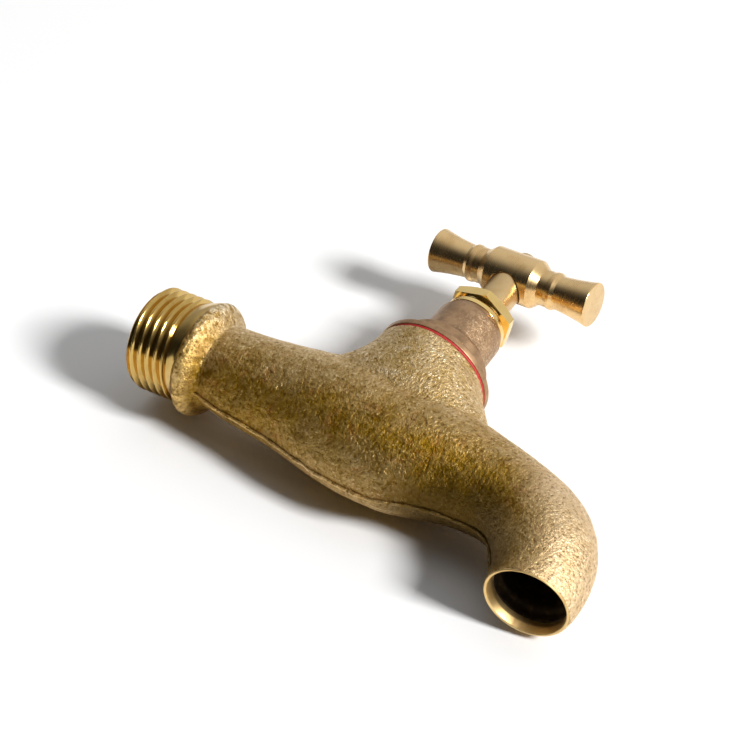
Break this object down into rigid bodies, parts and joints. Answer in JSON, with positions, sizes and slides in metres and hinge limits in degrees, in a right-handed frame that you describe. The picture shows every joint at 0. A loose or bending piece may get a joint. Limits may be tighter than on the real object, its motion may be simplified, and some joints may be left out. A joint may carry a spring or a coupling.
{
  "type": "bibcock",
  "caption": "Bib tap with a threaded inlet, cast body, curved spout, screw-down valve under a bonnet, and a tee handle on a rising spindle.",
  "frame": {"origin": "centre of the threaded inlet's end face", "axes": "+X along the inlet, in the direction of flow; +Z along the valve axis towards the handle; the spout ends below the inlet at +X"},
  "size_m": [0.1074, 0.0246, 0.08],
  "materials": {
    "cast_brass": "shot-blasted casting, dull",
    "forged_brass": "satin, pinkish brown",
    "turned_brass": "turned, bright",
    "fibre": "red fibre washer",
    "packing": "greased packing yarn",
    "rubber": "black rubber washer"
  },
  "bodies": {
    "tap_body": {"body": "cast_brass", "body_washer": "fibre", "bonnet": "forged_brass", "gland_nut": "turned_brass", "gland_packing": "packing", "gland_ring": "turned_brass"},
    "valve": {"jumper": "turned_brass", "seat_washer": "rubber", "washer_nut": "turned_brass"},
    "handle": {"spindle": "turned_brass", "tee_bar": "turned_brass"}
  },
  "joints": [
    {"name": "valve_lift", "type": "slide", "parent": "tap_body", "child": "valve", "axis": [0, 0, 1], "range_m": [0, 0.004]},
    {"name": "handle_turn", "type": "hinge", "parent": "valve", "child": "handle", "pos_m": [0.0535, 0, 0.04836], "axis": [0, 0, 1], "range_deg": [0, 720]}
  ]
}
